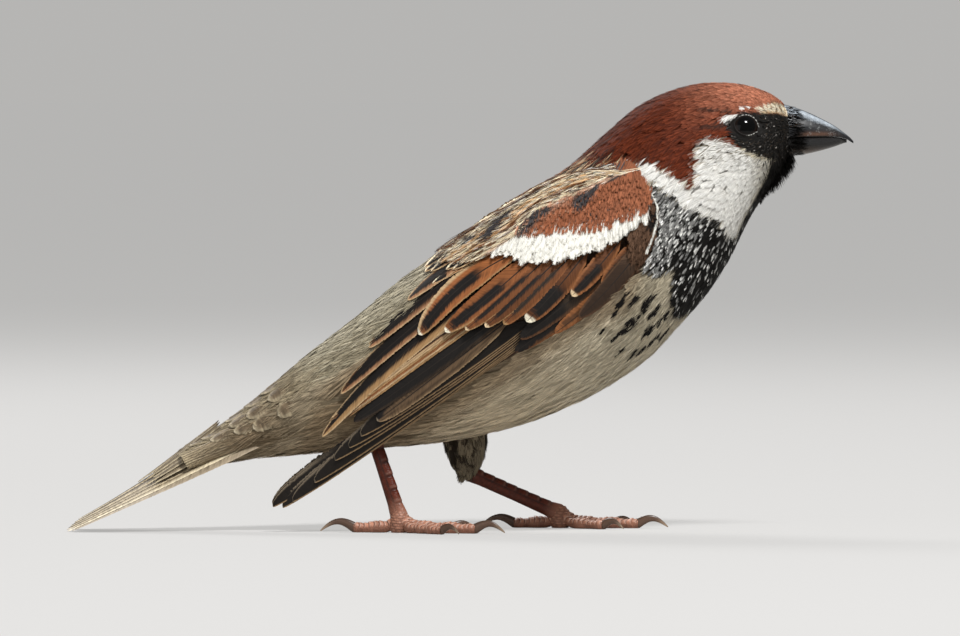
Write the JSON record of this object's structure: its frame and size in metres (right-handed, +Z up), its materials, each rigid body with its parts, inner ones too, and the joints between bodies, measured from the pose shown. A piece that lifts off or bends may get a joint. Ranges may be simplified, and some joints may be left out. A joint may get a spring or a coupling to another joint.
{
  "type": "sparrow",
  "caption": "Life-size cock sparrow standing on both feet, body pitched forward, wings closed, tail resting on the ground.",
  "frame": {"origin": "on the ground, under the middle of the bird's outline", "axes": "+X the way the bill points, +Y the bird's left side, +Z up"},
  "size_m": [0.1367, 0.039, 0.0771],
  "materials": {
    "plumage": "soft contour feathers",
    "tail_feathers": "stiff vanes",
    "wing_coverts": "soft vanes",
    "inner_flight_feathers": "stiff vanes",
    "outer_flight_feathers": "stiff vanes",
    "bill_horn": "semi-gloss",
    "claw_horn": "semi-gloss",
    "eye": "wet gloss",
    "leg_skin": "scaled, satin"
  },
  "bodies": {
    "root": {"head": "plumage", "neck": "plumage", "trunk": "plumage", "rump": "plumage", "thigh_L": "plumage", "tail": "tail_feathers", "wing_coverts_R": "wing_coverts", "wing_coverts_L": "wing_coverts", "wing_tertials_R": "inner_flight_feathers", "wing_tertials_L": "inner_flight_feathers", "wing_primaries_R": "outer_flight_feathers", "wing_primaries_L": "outer_flight_feathers", "bill_upper": "bill_horn", "bill_lower": "bill_horn", "eye_R": "eye", "eye_L": "eye", "tarsus_R": "leg_skin", "tarsus_L": "leg_skin", "foot_R": "leg_skin", "foot_L": "leg_skin", "claw_inner_R": "claw_horn", "claw_middle_R": "claw_horn", "claw_outer_R": "claw_horn", "claw_hind_R": "claw_horn", "claw_inner_L": "claw_horn", "claw_middle_L": "claw_horn", "claw_outer_L": "claw_horn", "claw_hind_L": "claw_horn"}
  },
  "joints": []
}
